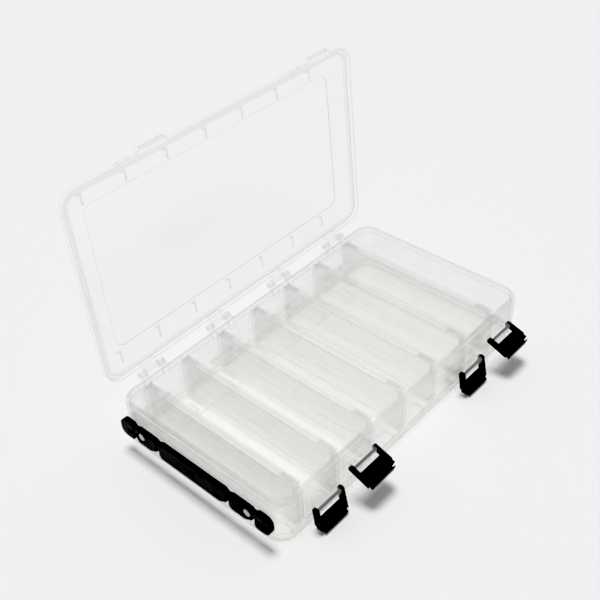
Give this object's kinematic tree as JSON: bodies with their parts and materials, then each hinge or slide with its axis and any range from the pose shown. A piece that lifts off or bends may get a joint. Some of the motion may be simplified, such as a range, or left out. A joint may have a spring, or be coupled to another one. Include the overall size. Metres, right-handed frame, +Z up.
{
  "type": "fishing tackle box",
  "caption": "Clear double-sided tackle box with hinged lids, slotted dividers, black snap latches and a black strap handle, top lid open.",
  "frame": {"origin": "centre of the box's underside, on the flat panel of the closed bottom lid", "axes": "+X along the box away from the handle, +Y from the latches towards the hinges, +Z up"},
  "size_m": [0.2748, 0.1941, 0.2005],
  "materials": {
    "clear_plastic": "clear polished moulding",
    "black_plastic": "fine moulded texture"
  },
  "bodies": {
    "tray": {"tray_walls": "clear_plastic", "tray_floor": "clear_plastic", "upper_dividers": "clear_plastic", "lower_dividers": "clear_plastic", "upper_hinge_lugs": "clear_plastic", "lower_hinge_lugs": "clear_plastic", "upper_hinge_pins": "clear_plastic", "lower_hinge_pins": "clear_plastic", "latch_clips": "clear_plastic", "handle_pegs": "clear_plastic"},
    "top_lid": {"top_lid": "clear_plastic", "top_lid_hinge_arms": "clear_plastic", "top_lid_catches": "clear_plastic"},
    "bottom_lid": {"bottom_lid": "clear_plastic", "bottom_lid_hinge_arms": "clear_plastic", "bottom_lid_catches": "clear_plastic"},
    "lower_latch_left": {"lower_latch_left": "black_plastic"},
    "lower_latch_right": {"lower_latch_right": "black_plastic"},
    "upper_latch_left": {"upper_latch_left": "black_plastic"},
    "upper_latch_right": {"upper_latch_right": "black_plastic"},
    "handle_grip": {"handle_grip": "black_plastic"},
    "handle_lobe_front": {"handle_lobe_front": "black_plastic"},
    "handle_lobe_rear": {"handle_lobe_rear": "black_plastic"},
    "handle_cap_front": {"handle_cap_front": "black_plastic"},
    "handle_cap_rear": {"handle_cap_rear": "black_plastic"}
  },
  "joints": [
    {"name": "top_lid_hinge", "type": "hinge", "parent": "tray", "child": "top_lid", "pos_m": [0, 0.0815, 0.0395], "axis": [-1, 0, 0], "range_deg": [-93.5, 0]},
    {"name": "bottom_lid_hinge", "type": "hinge", "parent": "tray", "child": "bottom_lid", "pos_m": [0, 0.0815, 0.0055], "axis": [1, 0, 0], "range_deg": [0, 93.5]},
    {"name": "lower_latch_left_pivot", "type": "hinge", "parent": "tray", "child": "lower_latch_left", "pos_m": [-0.09615, -0.0806, 0.0185], "axis": [-1, 0, 0], "range_deg": [-8, 100]},
    {"name": "lower_latch_right_pivot", "type": "hinge", "parent": "tray", "child": "lower_latch_right", "pos_m": [0.06425, -0.0806, 0.0185], "axis": [-1, 0, 0], "range_deg": [-8, 100]},
    {"name": "upper_latch_left_pivot", "type": "hinge", "parent": "tray", "child": "upper_latch_left", "pos_m": [-0.05985, -0.0806, 0.0265], "axis": [1, 0, 0], "range_deg": [-108, 0]},
    {"name": "upper_latch_right_pivot", "type": "hinge", "parent": "tray", "child": "upper_latch_right", "pos_m": [0.10055, -0.0806, 0.0265], "axis": [1, 0, 0], "range_deg": [-108, 0]},
    {"name": "handle_pull", "type": "slide", "parent": "tray", "child": "handle_grip", "axis": [-1, 0, 0], "range_m": [0, 0.008], "stiffness_N_per_m": 50},
    {"name": "handle_lobe_front_fold", "type": "hinge", "parent": "handle_grip", "child": "handle_lobe_front", "pos_m": [-0.13625, -0.033, 0.0225], "axis": [0, 0, 1], "range_deg": [0, 20.4]},
    {"name": "handle_cap_front_fold", "type": "hinge", "parent": "handle_lobe_front", "child": "handle_cap_front", "pos_m": [-0.13625, -0.056, 0.0225], "axis": [0, 0, -1], "range_deg": [0, 20.4]},
    {"name": "handle_lobe_rear_fold", "type": "hinge", "parent": "handle_grip", "child": "handle_lobe_rear", "pos_m": [-0.13625, 0.033, 0.0225], "axis": [0, 0, -1], "range_deg": [0, 20.4]},
    {"name": "handle_cap_rear_fold", "type": "hinge", "parent": "handle_lobe_rear", "child": "handle_cap_rear", "pos_m": [-0.13625, 0.056, 0.0225], "axis": [0, 0, 1], "range_deg": [0, 20.4]}
  ],
  "couplings": [
    {"joint": "handle_lobe_front_fold", "follows": "handle_pull", "rad_per_m": 44.4},
    {"joint": "handle_lobe_rear_fold", "follows": "handle_pull", "rad_per_m": 44.4},
    {"joint": "handle_cap_front_fold", "follows": "handle_pull", "rad_per_m": 44.4},
    {"joint": "handle_cap_rear_fold", "follows": "handle_pull", "rad_per_m": 44.4}
  ]
}
